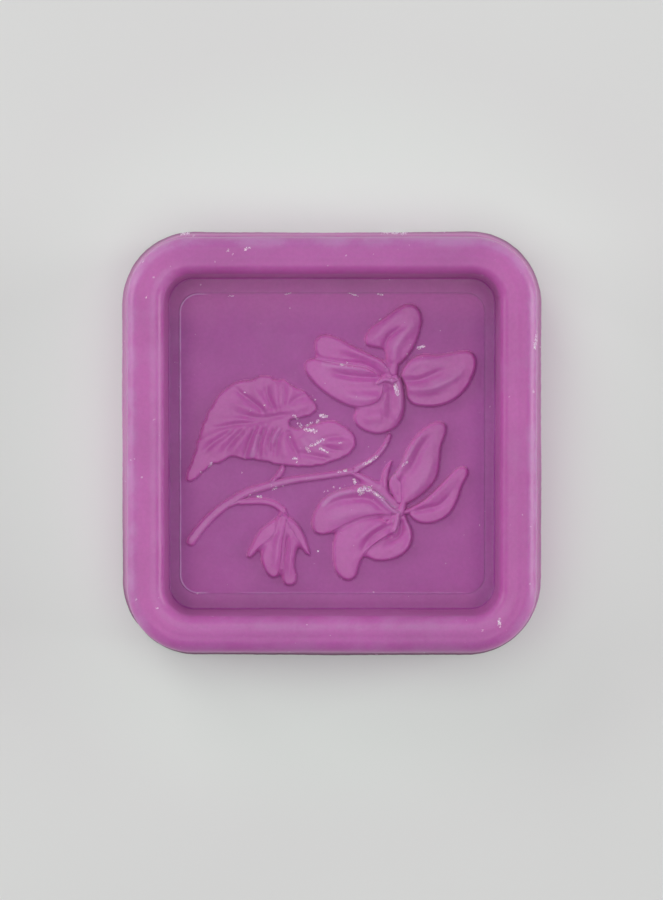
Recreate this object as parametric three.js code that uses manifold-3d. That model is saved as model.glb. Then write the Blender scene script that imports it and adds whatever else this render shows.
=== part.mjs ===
// Square silicone soap mould: a thick-rimmed tray with a loose relief plate lying in its floor.
// The plate carries a spray of violets in raised relief. Millimetres, +Z up, origin under the centre.

import * as THREE from 'three';
import { mergeVertices } from 'three/addons/utils/BufferGeometryUtils.js';
import Module from 'manifold-3d';

const wasm = await Module();
wasm.setup();

// Tray
const BODY_WIDTH = 80.6; // across the outer wall, along X
const BODY_LENGTH = 81.7; // across the outer wall, along Y
const CORNER_RADIUS = 12.8;
const CORNER_STEPS = 8;
const RIM_HEIGHT = 22; // flat crest of the rim above the table
const OUTER_SHOULDER = 18.8; // height where the outer wall starts to round over
const OUTER_ROUND = 3; // how far in that rounding reaches
const INNER_SHOULDER = 19.4; // height where the rim has rounded down into the cavity
const INNER_ROUND = 2.2;
const INNER_SHOULDER_INSET = 7.4; // from the outer wall in to the cavity's wall at that height
const WALL_THICKNESS = 7.7; // just above the cavity floor
const WALL_DRAFT = 0.4; // how far the outer wall leans out at its foot
const FLOOR_TOP = 8.75;
const FLOOR_FILLET = 0.5;
const FLANGE_WIDTH = 2.15; // thin skin round the foot of the wall
const FLANGE_THICKNESS = 0.6;
const ARC_STEPS = 5;

// Relief plate
const PLATE_WIDTH = 60.9;
const PLATE_LENGTH = 60;
const PLATE_THICKNESS = 3;
const PLATE_CORNER_RADIUS = 3.8;
const GAP = 0.3; // running clearance, and the clearance between neighbouring pieces

// Relief
const OUTLINE_STEP = 1.1; // spacing of points along an outline
const BEVEL_STEPS = 2;
const PETAL = { height: 2.4, edge: 0.6 };
const BUD = { height: 2.2, edge: 0.4 };
const LEAF = { height: 2, edge: 0.6 };
const SEPAL = { height: 1.6, edge: 0.2 };
const STEM = { height: 1.3, edge: 0.3 };
const STAMEN = { height: 2.9, edge: 0.3 };

const silicone = () => new THREE.MeshStandardMaterial({ color: 0xb565a6, roughness: 0.5, metalness: 0 });

// Stacked from the topmost piece down: each piece is trimmed back from those above it in this list.
const RELIEF = [
  ...upperViolet(),
  ...lowerViolet(),
  ...bud(),
  ...leafAndStems(),
];

function upperViolet() {
  return [
    band('upper_stamen', [[9.2, 12.1], [10.2, 12.8], [11.4, 12.8], [12.2, 12.3]], 0.55, 0.5, STAMEN),
    pad('upper_petal_left', [[-5.5, 15.2], [-5.1, 16.4], [-3.6, 16.9], [0, 16.3], [2.8, 15.8], [5.4, 15.5],
      [7.6, 14.8], [9.2, 13.6], [10.2, 12.2], [10.4, 10.8], [10, 9.3], [9, 8.1], [6.6, 7.3], [3.8, 7.5],
      [1, 8.7], [-2, 10.7], [-4.2, 12.9]], PETAL),
    pad('upper_petal_upper_left', [[-3.4, 19.6], [-2.9, 21.1], [-1.3, 21.7], [0.4, 21.3], [4.2, 19.4],
      [8, 17.6], [10.4, 16.3], [11.6, 14.6], [11, 13.9], [9.9, 14.1], [8.3, 15.4], [6, 16.2], [2.6, 16.6],
      [-0.6, 17], [-2.8, 17.6]], PETAL),
    pad('upper_petal_top', [[12.2, 15.4], [11, 17.2], [10.4, 19], [8.4, 19.3], [6.7, 19.9], [6.7, 21.3],
      [8, 23.3], [10.6, 25.1], [13.2, 27], [15.5, 27.8], [17.2, 26.9], [17.9, 24.8], [17.4, 22.2],
      [16.4, 19.5], [14.6, 17], [13, 15.6]], PETAL),
    pad('upper_petal_right', [[13.8, 13.6], [14.6, 15.5], [16.2, 17.1], [18.2, 17.8], [21, 17.6], [24, 18.1],
      [26.6, 18.5], [28.3, 17.8], [28.7, 16], [28, 13.4], [26.4, 10.6], [24, 8.6], [21.4, 7.6], [18.4, 7.5],
      [16, 8], [15, 9.2], [14.8, 11.4]], PETAL),
    pad('upper_petal_bottom', [[4.4, 5], [4.9, 6.5], [6.4, 7], [8.4, 7.4], [10.1, 8.6], [10.9, 10.6],
      [11.4, 12.4], [12.6, 13.4], [13.6, 13.1], [14.2, 11], [14.5, 8], [14.1, 5.4], [12.9, 3.5], [11, 2.4],
      [8.8, 2], [6.6, 2.6], [5, 3.7]], PETAL),
  ];
}

function lowerViolet() {
  return [
    band('lower_spur', [[13, -14.4], [12.9, -16], [12.4, -17.4]], 0.7, 0.6, STAMEN),
    pad('lower_petal_left', [[13.2, -13.8], [11.9, -12.5], [10.2, -10.6], [8.2, -9], [6.2, -8.3], [3.4, -8.9],
      [0.3, -9.8], [-1.9, -11.3], [-3.5, -13.8], [-4, -16.2], [-3.3, -17.8], [-1.6, -18.1], [0.8, -17.3],
      [3.6, -15.8], [6.6, -14.7], [10, -14.2], [12.4, -14.3]], PETAL),
    pad('lower_petal_bottom_left', [[1.6, -17.5], [0.6, -18.7], [0.3, -20.8], [0.4, -23.2], [0.7, -25.2],
      [1.9, -26.8], [3.5, -27.3], [4.8, -26.4], [5.3, -24.4], [6.6, -22], [8.8, -19.9], [11.3, -18.3],
      [12, -16.8], [10.8, -15.4], [8.6, -15], [6, -15.3], [3.6, -16.3]], PETAL),
    pad('lower_petal_bottom_right', [[14.3, -14.9], [15.5, -16.2], [16.1, -18.2], [15.6, -20.4], [14, -22.2],
      [11.4, -23.2], [8.8, -23.3], [7, -22.5], [7.8, -21.2], [10.2, -19.6], [12.6, -18.3],
      [13.7, -16.8]], PETAL),
    pad('lower_petal_right', [[15.2, -13.2], [17.4, -12], [20, -9.9], [23, -7], [25.2, -4.9], [26.8, -4.6],
      [27.2, -5.8], [26, -8.2], [25, -11.2], [23.4, -14], [21, -15.5], [18.6, -15.9], [16.4, -15.2]], PETAL),
    pad('lower_petal_top', [[14, -12], [13.6, -10.4], [13.5, -8.4], [12.6, -6.2], [13.8, -4.2], [15, -1.2],
      [16.8, 1.5], [19, 3.4], [21.2, 4.4], [22.6, 3.9], [22.7, 2.2], [21.7, -0.6], [21.4, -3.8], [20.9, -6.6],
      [19.2, -8.9], [16.8, -10.9], [15, -11.9]], PETAL),
    pad('lower_sepal_inner', [[12.1, -6.5], [11.4, -7.7], [11.7, -9.2], [12.6, -10.8], [13.1, -10.2],
      [13.1, -8.4]], SEPAL),
    pad('lower_sepal_outer', [[12, -3.3], [10.7, -4.8], [10, -7], [10.3, -9], [10.9, -9.2], [11, -7.2],
      [11.4, -5.2]], SEPAL),
  ];
}

function bud() {
  return [
    pad('bud_sepal_left', [[-10, -14.6], [-12.4, -15.8], [-14.6, -17.6], [-15.9, -20], [-17.1, -22.9],
      [-16.3, -22.8], [-14.6, -20.9], [-12, -19], [-10.6, -17], [-9.8, -15.2]], SEPAL),
    pad('bud_sepal_right', [[-9, -14.5], [-7.2, -15.8], [-5.7, -18], [-4.8, -20.6], [-4.2, -22.4], [-5.2, -21.9],
      [-6.8, -19.6], [-8.4, -17.5], [-9.3, -15.6]], SEPAL),
    pad('bud_petal_left', [[-9.9, -16], [-11, -18], [-13, -20], [-14.1, -22.2], [-13.6, -24.6], [-12.4, -26.5],
      [-11.3, -26.8], [-10.4, -25.4], [-10, -22.6], [-9.7, -19.6], [-9.4, -17]], BUD),
    pad('bud_petal_right', [[-8.4, -17.6], [-8.9, -20], [-9.3, -23], [-9.8, -26.2], [-9.6, -27.9], [-8.5, -28.4],
      [-7.2, -27.8], [-7.1, -26.4], [-7.6, -24], [-7.1, -21], [-7.2, -18.9]], BUD),
  ];
}

function leafAndStems() {
  return [
    pad('leaf', [[-29, -7.4], [-28.1, -4.2], [-27, -0.6], [-26, 2.8], [-24.6, 6.2], [-22.8, 9.2], [-20.6, 11.3],
      [-18, 12.4], [-15.8, 12.7], [-14, 13.5], [-12.6, 13.4], [-11.2, 12.7], [-9.2, 12.6], [-7.6, 11.3],
      [-5.6, 10.5], [-4.2, 9], [-2.9, 7.2], [-4.2, 5.9], [-6.4, 5.2], [-8.3, 4.9], [-8.9, 4.1], [-8.2, 3.3],
      [-5.9, 3], [-3.8, 3.7], [-1.4, 4.4], [0.8, 4.4], [2.6, 3.2], [4.2, 2], [4.7, -0.2], [3.6, -1.8],
      [1.4, -3], [-1, -3.9], [-4, -4.5], [-8, -4.5], [-11.4, -4], [-13.6, -3.4], [-16, -3], [-18.4, -2.9],
      [-20, -2.4], [-22, -3.5], [-24.4, -4.3], [-26.2, -6], [-28, -7.4]], LEAF),
    band('main_stem', [[-28.2, -19.6], [-26.3, -16.9], [-23.6, -14.1], [-20.4, -11.7], [-17, -9.7],
      [-13.4, -8.6], [-8, -7.3], [-2, -6.5], [4, -5.6]], 0.85, 0.55, STEM),
    band('leaf_stalk', [[-9.8, -4.9], [-10.4, -6], [-11.6, -7.6]], 0.5, 0.55, STEM),
    band('bud_stalk', [[-18.6, -11.6], [-16, -11.5], [-13.4, -11.5], [-11.2, -12.2], [-9.8, -13.4],
      [-9.5, -14.4]], 0.6, 0.6, STEM),
    band('upper_violet_stalk', [[4.6, -5.1], [7, -3.9], [9.2, -2.2], [10.8, 0], [11.5, 1.8]], 0.5, 0.35, STEM),
    band('lower_violet_stalk', [[4.7, -6.1], [7.4, -7.5], [9.6, -9], [11.4, -11], [13.6, -12.9]], 0.5, 0.8, STEM),
  ];
}

// A pillow-edged pad: its outline is a closed smooth curve through the given points.
function pad(name, points, { height, edge }) {
  const curve = new THREE.CatmullRomCurve3(points.map(([x, y]) => new THREE.Vector3(x, y, 0)), true);
  const steps = Math.round(curve.getLength() / OUTLINE_STEP);
  return { name, outline: curve.getSpacedPoints(steps).slice(0, -1), height, edge };
}

// A round-ended band along a smooth centre line, tapering from one half-width to the other.
function band(name, points, startHalf, endHalf, { height, edge }) {
  const curve = new THREE.CatmullRomCurve3(points.map(([x, y]) => new THREE.Vector3(x, y, 0)));
  const steps = Math.max(3, Math.round(curve.getLength() / OUTLINE_STEP));
  const centres = curve.getSpacedPoints(steps);
  const edgePoint = (i, turn) => {
    const tangent = curve.getTangentAt(i / steps);
    const half = THREE.MathUtils.lerp(startHalf, endHalf, i / steps);
    return centres[i].clone().add(tangent.applyAxisAngle(new THREE.Vector3(0, 0, 1), turn).multiplyScalar(half));
  };
  const right = centres.map((_, i) => edgePoint(i, -Math.PI / 2));
  const left = centres.map((_, i) => edgePoint(i, Math.PI / 2)).reverse();
  const nose = [-Math.PI / 4, 0, Math.PI / 4].map((turn) => edgePoint(steps, turn));
  const tail = [Math.PI * 3 / 4, Math.PI, Math.PI * 5 / 4].map((turn) => edgePoint(0, turn));
  return { name, outline: [...right, ...nose, ...left, ...tail], height, edge };
}

// The outline moved outwards by a distance, along its own normals.
function grown(outline, distance) {
  const anticlockwise = !THREE.ShapeUtils.isClockWise(outline);
  return outline.map((point, i) => {
    const before = outline[(i + outline.length - 1) % outline.length];
    const after = outline[(i + 1) % outline.length];
    const along = after.clone().sub(before).normalize();
    const side = anticlockwise ? 1 : -1;
    return new THREE.Vector3(point.x + along.y * distance * side, point.y - along.x * distance * side, 0);
  });
}

function solidOf(geometry) {
  geometry.deleteAttribute('normal');
  geometry.deleteAttribute('uv');
  const merged = mergeVertices(geometry, 1e-4);
  return new wasm.Manifold(new wasm.Mesh({
    numProp: 3,
    vertProperties: new Float32Array(merged.attributes.position.array),
    triVerts: new Uint32Array(merged.index.array),
  }));
}

function geometryOf(solid) {
  const { vertProperties, triVerts } = solid.getMesh();
  const geometry = new THREE.BufferGeometry();
  geometry.setAttribute('position', new THREE.BufferAttribute(vertProperties, 3));
  geometry.setIndex(new THREE.BufferAttribute(triVerts, 1));
  geometry.computeVertexNormals();
  return geometry;
}

function prism(outline, low, high) {
  const shape = new THREE.Shape(outline.map(({ x, y }) => new THREE.Vector2(x, y)));
  const geometry = new THREE.ExtrudeGeometry(shape, { depth: high - low, bevelEnabled: false });
  return solidOf(geometry.translate(0, 0, low));
}

function roundedRectangle(width, length, radius) {
  const points = [];
  for (let corner = 0; corner < 4; corner++) {
    const sideX = corner === 0 || corner === 3 ? 1 : -1;
    const sideY = corner < 2 ? 1 : -1;
    for (let step = 0; step <= CORNER_STEPS; step++) {
      const angle = (corner + step / CORNER_STEPS) * Math.PI / 2;
      points.push(new THREE.Vector3(
        sideX * (width / 2 - radius) + radius * Math.cos(angle),
        sideY * (length / 2 - radius) + radius * Math.sin(angle),
        0,
      ));
    }
  }
  return points;
}

// A lathed ring whose four quarters are drawn apart, so that it runs round a rounded rectangle.
// The profile's x is the distance from the corners' centres.
function roundedRing(profile) {
  const slicesPerCorner = CORNER_STEPS + 1;
  const geometry = new THREE.LatheGeometry(profile, 4 * slicesPerCorner);
  const { position } = geometry.attributes;
  for (let i = 0; i < position.count; i++) {
    const slice = Math.floor(i / profile.length) % (4 * slicesPerCorner);
    const corner = Math.floor(slice / slicesPerCorner);
    const angle = (corner + (slice % slicesPerCorner) / CORNER_STEPS) * Math.PI / 2;
    const sideX = corner === 0 || corner === 3 ? 1 : -1;
    const sideY = corner < 2 ? 1 : -1;
    const { x: radius, y: height } = profile[i % profile.length];
    position.setXYZ(
      i,
      sideX * (BODY_WIDTH / 2 - CORNER_RADIUS) + radius * Math.cos(angle),
      sideY * (BODY_LENGTH / 2 - CORNER_RADIUS) + radius * Math.sin(angle),
      height,
    );
  }
  return solidOf(geometry);
}

// Points of a quarter ellipse from one angle to another, in quarter turns.
function quarter(centreX, centreY, radiusX, radiusY, from, to) {
  return Array.from({ length: ARC_STEPS + 1 }, (_, i) => {
    const angle = THREE.MathUtils.lerp(from, to, i / ARC_STEPS) * Math.PI / 2;
    return new THREE.Vector2(centreX + radiusX * Math.cos(angle), centreY + radiusY * Math.sin(angle));
  });
}

// The wall, from the flange at its foot over the rounded rim and down into the cavity.
function wallProfile() {
  const outer = CORNER_RADIUS;
  const innerShoulder = outer - INNER_SHOULDER_INSET;
  const innerFoot = outer - WALL_THICKNESS;
  return [
    new THREE.Vector2(outer + FLANGE_WIDTH, 0),
    new THREE.Vector2(outer + FLANGE_WIDTH, FLANGE_THICKNESS / 2),
    new THREE.Vector2(outer + WALL_DRAFT, FLANGE_THICKNESS),
    ...quarter(outer - OUTER_ROUND, OUTER_SHOULDER, OUTER_ROUND, RIM_HEIGHT - OUTER_SHOULDER, 0, 1),
    ...quarter(innerShoulder + INNER_ROUND, INNER_SHOULDER, INNER_ROUND, RIM_HEIGHT - INNER_SHOULDER, 1, 2),
    ...quarter(innerFoot - FLOOR_FILLET, FLOOR_TOP + FLOOR_FILLET, FLOOR_FILLET, FLOOR_FILLET, 0, -1),
    new THREE.Vector2(innerFoot - FLOOR_FILLET, 0),
    new THREE.Vector2(outer + FLANGE_WIDTH, 0),
  ];
}

function tray() {
  const slabInset = WALL_THICKNESS + FLOOR_FILLET / 2;
  const slab = prism(
    roundedRectangle(BODY_WIDTH - 2 * slabInset, BODY_LENGTH - 2 * slabInset, CORNER_RADIUS - slabInset),
    0,
    FLOOR_TOP,
  );
  const pocket = prism(
    roundedRectangle(PLATE_WIDTH + 2 * GAP, PLATE_LENGTH + 2 * GAP, PLATE_CORNER_RADIUS + GAP),
    FLOOR_TOP - PLATE_THICKNESS,
    RIM_HEIGHT,
  );
  return roundedRing(wallProfile()).add(slab).subtract(pocket);
}

function plate() {
  return prism(
    roundedRectangle(PLATE_WIDTH, PLATE_LENGTH, PLATE_CORNER_RADIUS),
    FLOOR_TOP - PLATE_THICKNESS,
    FLOOR_TOP,
  );
}

// The upper half of a pillow-edged extrusion, standing on the plate.
function reliefPiece({ outline, height, edge }) {
  const shape = new THREE.Shape(outline.map(({ x, y }) => new THREE.Vector2(x, y)));
  const depth = 2 * (height - edge);
  const geometry = new THREE.ExtrudeGeometry(shape, {
    depth,
    bevelThickness: edge,
    bevelSize: edge,
    bevelOffset: -edge,
    bevelSegments: BEVEL_STEPS,
  });
  const pillow = solidOf(geometry.translate(0, 0, FLOOR_TOP - depth / 2));
  const abovePlate = prism(roundedRectangle(PLATE_WIDTH, PLATE_LENGTH, PLATE_CORNER_RADIUS), FLOOR_TOP, RIM_HEIGHT);
  return pillow.intersect(abovePlate);
}

function mesh(name, solid) {
  const made = new THREE.Mesh(geometryOf(solid), silicone());
  made.name = name;
  return made;
}

const mould = new THREE.Group();
mould.add(mesh('mould_tray', tray()), mesh('relief_plate', plate()));

RELIEF.forEach((piece, index) => {
  const above = RELIEF.slice(0, index);
  const solid = above.reduce(
    (rest, other) => rest.subtract(prism(grown(other.outline, GAP), 0, RIM_HEIGHT)),
    reliefPiece(piece),
  );
  mould.add(mesh(piece.name, solid));
});

export default mould;
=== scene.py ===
"""Looks of a silicone soap mould: a thick-rimmed tray, and a loose plate with violets in raised relief.
Lengths in the tables are millimetres in the row frame, and the meshes are made in metres."""

import math

import bpy
import numpy as np
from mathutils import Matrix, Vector, kdtree, noise


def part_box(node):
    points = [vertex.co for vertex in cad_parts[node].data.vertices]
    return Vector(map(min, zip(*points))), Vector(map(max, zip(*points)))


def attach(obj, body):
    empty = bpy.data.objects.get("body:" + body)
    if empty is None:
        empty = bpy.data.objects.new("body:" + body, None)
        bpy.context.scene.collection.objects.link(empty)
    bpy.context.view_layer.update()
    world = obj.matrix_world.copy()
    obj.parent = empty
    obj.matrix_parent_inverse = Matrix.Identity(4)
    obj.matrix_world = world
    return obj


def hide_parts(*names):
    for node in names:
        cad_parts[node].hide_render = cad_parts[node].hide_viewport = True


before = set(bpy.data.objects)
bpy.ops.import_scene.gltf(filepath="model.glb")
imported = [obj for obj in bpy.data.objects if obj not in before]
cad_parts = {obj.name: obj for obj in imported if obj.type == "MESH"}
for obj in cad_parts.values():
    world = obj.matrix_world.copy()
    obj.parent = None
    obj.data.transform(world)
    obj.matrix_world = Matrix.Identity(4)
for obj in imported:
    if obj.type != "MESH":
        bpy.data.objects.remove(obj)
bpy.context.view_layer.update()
MM = 0.001


def cad_box(node):
    """Lowest and highest corner of a CAD node, in millimetres."""
    low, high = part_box(node)
    return np.array(low) / MM, np.array(high) / MM


TRAY_LOW, TRAY_HIGH = cad_box("mould_tray")
PLATE_LOW, PLATE_HIGH = cad_box("relief_plate")
RIM_TOP = TRAY_HIGH[2]
FLOOR_TOP = PLATE_HIGH[2]
POCKET_FLOOR = PLATE_LOW[2]
PLATE_HALF = PLATE_HIGH[:2]
PLATE_CORNER = 3.8
FLANGE = 2.15  # the skin of flash round the foot, beyond the wall
WALL_HALF = TRAY_HIGH[:2] - FLANGE
WALL_CORNER = 12.8
WALL_LEAN = 0.4  # the outer wall leans out by this much at the table
OUTER_SHOULDER = 18.8  # where the outer wall starts to round over
OUTER_ROUND = 3.0  # how far in that rounding reaches
INNER_SHOULDER = 19.4  # where the rim has rounded down into the cavity
INNER_ROUND = 2.2
INNER_SHOULDER_INSET = 7.4  # from the outer wall in to the cavity's wall at that height
WALL_THICKNESS = 7.7  # just above the cavity floor
FLOOR_FILLET = 0.5
CORNER_CENTRE = WALL_HALF - WALL_CORNER


# ---- meshes


def place_object(name, data):
    obj = bpy.data.objects.new(name, data)
    bpy.context.scene.collection.objects.link(obj)
    return obj


def make_object(name, verts, faces, material, body, replaced):
    """A piece from vertices in millimetres. It rides on a body and stands for CAD nodes."""
    mesh = bpy.data.meshes.new(name)
    mesh.from_pydata([tuple(v) for v in np.asarray(verts) * MM], [], faces)
    mesh.validate()
    mesh.polygons.foreach_set("use_smooth", [True] * len(mesh.polygons))
    obj = place_object(name, mesh)
    mesh.materials.append(material)
    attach(obj, body)
    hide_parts(*replaced)
    return obj


def set_attributes(obj, **layers):
    """Gives each vertex the values that the silicone material reads."""
    for name, values in layers.items():
        layer = obj.data.attributes.new(name, "FLOAT", "POINT")
        layer.data.foreach_set("value", np.asarray(values, np.float32))


def rounded_loop(half, corner, corner_steps, side_steps):
    """Points anticlockwise round a rounded rectangle, the same number whatever its size."""
    arcs = []
    for quarter, side in enumerate(((1, 1), (-1, 1), (-1, -1), (1, -1))):
        turn = (quarter + np.arange(corner_steps + 1) / corner_steps) * math.pi / 2
        arcs.append(side * (np.asarray(half) - corner) + corner * np.stack([np.cos(turn), np.sin(turn)], 1))
    share = (np.arange(1, side_steps) / side_steps)[:, None]
    sides = [arc[-1] * (1 - share) + after[0] * share for arc, after in zip(arcs, arcs[1:] + arcs[:1])]
    return np.concatenate([part for pair in zip(arcs, sides) for part in pair])


def wall_loop(radius, corner_steps, side_steps):
    """A loop round the mould at a distance from its corners' centres."""
    return rounded_loop(CORNER_CENTRE + radius, radius, corner_steps, side_steps)


def loft(rings):
    """Vertices and quads of a closed skin through rings of equal length. The end rings shut to a point."""
    count = len(rings[0])
    first, last = rings[0].mean(0), rings[-1].mean(0)
    verts = np.concatenate([*rings, [first], [last]])
    start, end = len(verts) - 2, len(verts) - 1
    faces = []
    around = np.arange(count)
    after = (around + 1) % count
    for row in range(len(rings) - 1):
        low, high = row * count, (row + 1) * count
        faces += np.stack([low + around, low + after, high + after, high + around], 1).tolist()
    top = (len(rings) - 1) * count
    faces += [[start, b, a] for a, b in zip(around.tolist(), after.tolist())]
    faces += [[end, top + a, top + b] for a, b in zip(around.tolist(), after.tolist())]
    return verts, faces


def at_height(loop, height):
    return np.column_stack([loop, np.broadcast_to(height, len(loop))])


def rough(points, size, seed):
    """Smooth noise from -1 to 1 at each point, with features of about that size in millimetres."""
    offset = Vector((seed * 17.3, seed * 5.1, seed * 9.7))
    return np.array([noise.noise(Vector(p) / size + offset) for p in points])


def vertex_normals(verts, faces):
    normals = np.zeros_like(verts)
    quads = np.array([f if len(f) == 4 else [*f, f[2]] for f in faces])
    across = np.cross(verts[quads[:, 2]] - verts[quads[:, 0]], verts[quads[:, 3]] - verts[quads[:, 1]])
    for k in range(4):
        np.add.at(normals, quads[:, k], across)
    return normals / np.maximum(np.linalg.norm(normals, axis=1), 1e-12)[:, None]


def smoothstep(low, high, x):
    t = np.clip((x - low) / (high - low), 0, 1)
    return t * t * (3 - 2 * t)


def line_distance(points, line):
    """How far each point lies, seen from above, from a line through places, or from a single place."""
    line = [*line, line[0]] if len(line) == 1 else line
    away = np.full(len(points), np.inf)
    for start, end in zip(line, line[1:]):
        away = np.minimum(away, segment_distance(points[:, :2], start, end))
    return away


def segment_distance(points, start, end):
    start, end = np.array(start), np.array(end)
    along = end - start
    share = np.clip((points - start) @ along / max(along @ along, 1e-9), 0, 1)
    return np.linalg.norm(points - start - share[..., None] * along, axis=-1)


def smears(points, table):
    """The strength at each point of the strongest smear: each has a half-width, a strength and a line."""
    mask = np.zeros(len(points))
    for half_width, strength, line in table:
        fade = 1 - smoothstep(0.4 * half_width, half_width, line_distance(points, line))
        mask = np.maximum(mask, strength * fade)
    return mask


# ---- materials


def node(tree, kind, **inputs):
    made = tree.nodes.new(kind)
    for name, value in inputs.items():
        made.inputs[name.replace("_", " ")].default_value = value
    return made


def noise_texture(tree, coordinates, scale, detail=3.0, roughness=0.5):
    made = node(tree, "ShaderNodeTexNoise", Scale=scale, Detail=detail, Roughness=roughness)
    tree.links.new(coordinates, made.inputs["Vector"])
    return made.outputs["Fac"]


def remap(tree, value, low, high, to_low, to_high):
    made = node(tree, "ShaderNodeMapRange", From_Min=low, From_Max=high, To_Min=to_low, To_Max=to_high)
    made.interpolation_type = "SMOOTHSTEP"
    tree.links.new(value, made.inputs["Value"])
    return made.outputs["Result"]


def feed(tree, socket, value):
    """Gives a socket a number or a colour, or links another socket to it."""
    if isinstance(value, bpy.types.NodeSocket):
        tree.links.new(value, socket)
    else:
        socket.default_value = (*value, 1) if isinstance(value, tuple) else value


def math_node(tree, operation, a, b):
    made = tree.nodes.new("ShaderNodeMath")
    made.operation = operation
    feed(tree, made.inputs[0], a)
    feed(tree, made.inputs[1], b)
    return made.outputs[0]


def mix_colour(tree, factor, a, b, blend="MIX"):
    made = tree.nodes.new("ShaderNodeMix")
    made.data_type = "RGBA"
    made.blend_type = blend
    feed(tree, made.inputs["Factor"], factor)
    feed(tree, made.inputs[6], a)
    feed(tree, made.inputs[7], b)
    return made.outputs[2]


def attribute(tree, name):
    made = tree.nodes.new("ShaderNodeAttribute")
    made.attribute_name = name
    return made.outputs["Fac"]


RIM_COLOUR = (0.52, 0.112, 0.41)
RELIEF_COLOUR = (0.53, 0.124, 0.43)
# painted shade: the darker colour of the shaded floor, the relief's low feet and the rim's two ends
FLOOR_COLOUR = (0.37, 0.066, 0.33)
FLOOR_SHADE = 0.65  # how much painted shade darkens the floor towards that colour, away from the left and right walls
SKIN_COLOUR = (0.66, 0.34, 0.58)  # flash so thin that the table shows through it
GLOW_COLOUR = (0.78, 0.24, 0.60)  # painted light on the relief's steep edges that face -X and +Y
# pale dried soap, and painted highlight where the meshes ask for it
FILM_COLOUR = (0.62, 0.42, 0.66)
DUST_COLOUR = (0.80, 0.62, 0.78)
CRUST_COLOUR = (0.95, 0.81, 0.93)
# painted shadow under the flash's thin outer edge
GRIME_COLOUR = (0.17, 0.09, 0.14)
PAPER_COLOURS = ((0.745, 0.745, 0.73), (0.76, 0.765, 0.745))
NEAR_COLOUR = (0.80, 0.86, 0.80)  # painted light: the table beside the mould is lighter and greener, against the shadow and pink light that fall there
NEAR_REACH = (0.045, 0.085)  # metres from the mould's middle over which that fades out


def new_material(name, **inputs):
    """A material with its node tree, its shader and the object's own coordinates."""
    material = bpy.data.materials.new(name)
    material.use_nodes = True
    tree = material.node_tree
    shader = tree.nodes["Principled BSDF"]
    for socket, value in inputs.items():
        shader.inputs[socket.replace("_", " ")].default_value = value
    return material, tree, shader, tree.nodes.new("ShaderNodeTexCoord").outputs["Object"]


def silicone(name, colour, dull, film, scatter):
    """Satin translucent silicone. dull is its roughness, the fourth argument is how much pale dried soap
    clouds it at random, and scatter is how far light goes through it, in millimetres.
    The meshes say where it has painted shade (darker), painted light on its edges, where it is thin, paler
    from dried soap with painted highlight, darker from painted shadow at the flash's edge, or crusted with
    residue."""
    material, tree, shader, place = new_material(
        name, IOR=1.46, Subsurface_Weight=0.5, Subsurface_Radius=(1.0, 0.3, 0.75),
        Subsurface_Scale=scatter * MM, Sheen_Weight=0.06, Sheen_Roughness=0.45)
    mottle = noise_texture(tree, place, 60, 4)
    clouds = noise_texture(tree, place, 160, 5, 0.6)
    grain = noise_texture(tree, place, 1400, 3, 0.6)
    specks = noise_texture(tree, place, 900, 2, 0.4)
    crumb_noise = noise_texture(tree, place, 2800, 5, 0.85)

    # painted shade where the meshes ask for it, then painted light on the relief's edges that face -X and +Y
    base = mix_colour(tree, attribute(tree, "recessed"), colour, FLOOR_COLOUR)
    base = mix_colour(tree, attribute(tree, "glow"), base, GLOW_COLOUR)
    shade = remap(tree, mottle, 0.35, 0.65, 0.94, 1.03)
    shade = math_node(tree, "MULTIPLY", shade, remap(tree, grain, 0.3, 0.7, 0.965, 1.03))
    base = mix_colour(tree, 1.0, base, shade, "MULTIPLY")
    base = mix_colour(tree, attribute(tree, "thin"), base, SKIN_COLOUR)
    base = mix_colour(tree, remap(tree, clouds, 0.45, 0.75, 0, film), base, FILM_COLOUR)
    patchy = remap(tree, clouds, 0.35, 0.6, 0.35, 0.75)
    # pale dried soap with painted highlight, where the meshes ask for it
    dried = math_node(tree, "MULTIPLY", attribute(tree, "film"), patchy)
    base = mix_colour(tree, dried, base, FILM_COLOUR)
    # painted shadow along the flash's edge
    base = mix_colour(tree, attribute(tree, "grime"), base, GRIME_COLOUR)
    base = mix_colour(tree, remap(tree, specks, 0.74, 0.79, 0, 0.5), base, DUST_COLOUR)
    crumbs = remap(tree, crumb_noise, 0.38, 0.62, 0, 1)
    crust = remap(tree, math_node(tree, "ADD", attribute(tree, "residue"), crumbs), 1.0, 1.15, 0, 0.95)
    base = mix_colour(tree, crust, base, CRUST_COLOUR)
    tree.links.new(base, shader.inputs["Base Color"])

    worn = remap(tree, clouds, 0.3, 0.7, dull - 0.06, dull + 0.06)
    rough_crust = math_node(tree, "MULTIPLY", crust, 0.85)
    tree.links.new(math_node(tree, "MAXIMUM", worn, rough_crust), shader.inputs["Roughness"])

    skin = noise_texture(tree, place, 330, 3, 0.55)
    fine = math_node(tree, "MULTIPLY", grain, 0.14)
    height = math_node(tree, "ADD", math_node(tree, "MULTIPLY", skin, 0.5), fine)
    height = math_node(tree, "ADD", height, math_node(tree, "MULTIPLY", crust, 1.2))
    bump = node(tree, "ShaderNodeBump", Strength=0.35, Distance=0.12 * MM)
    tree.links.new(height, bump.inputs["Height"])
    tree.links.new(bump.outputs["Normal"], shader.inputs["Normal"])
    return material


def table_top():
    material, tree, shader, place = new_material("table_top", Roughness=0.75)
    tint = remap(tree, noise_texture(tree, place, 9, 2), 0.3, 0.7, 0, 1)
    paper = mix_colour(tree, tint, *PAPER_COLOURS)
    away = tree.nodes.new("ShaderNodeVectorMath")
    away.operation = "LENGTH"
    tree.links.new(place, away.inputs[0])
    # painted light: lighter and greener near the mould, against its shadow and pink bounce light
    near = remap(tree, away.outputs["Value"], *NEAR_REACH, 1, 0)
    tree.links.new(mix_colour(tree, near, paper, NEAR_COLOUR), shader.inputs["Base Color"])
    return material


# ---- tray

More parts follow.
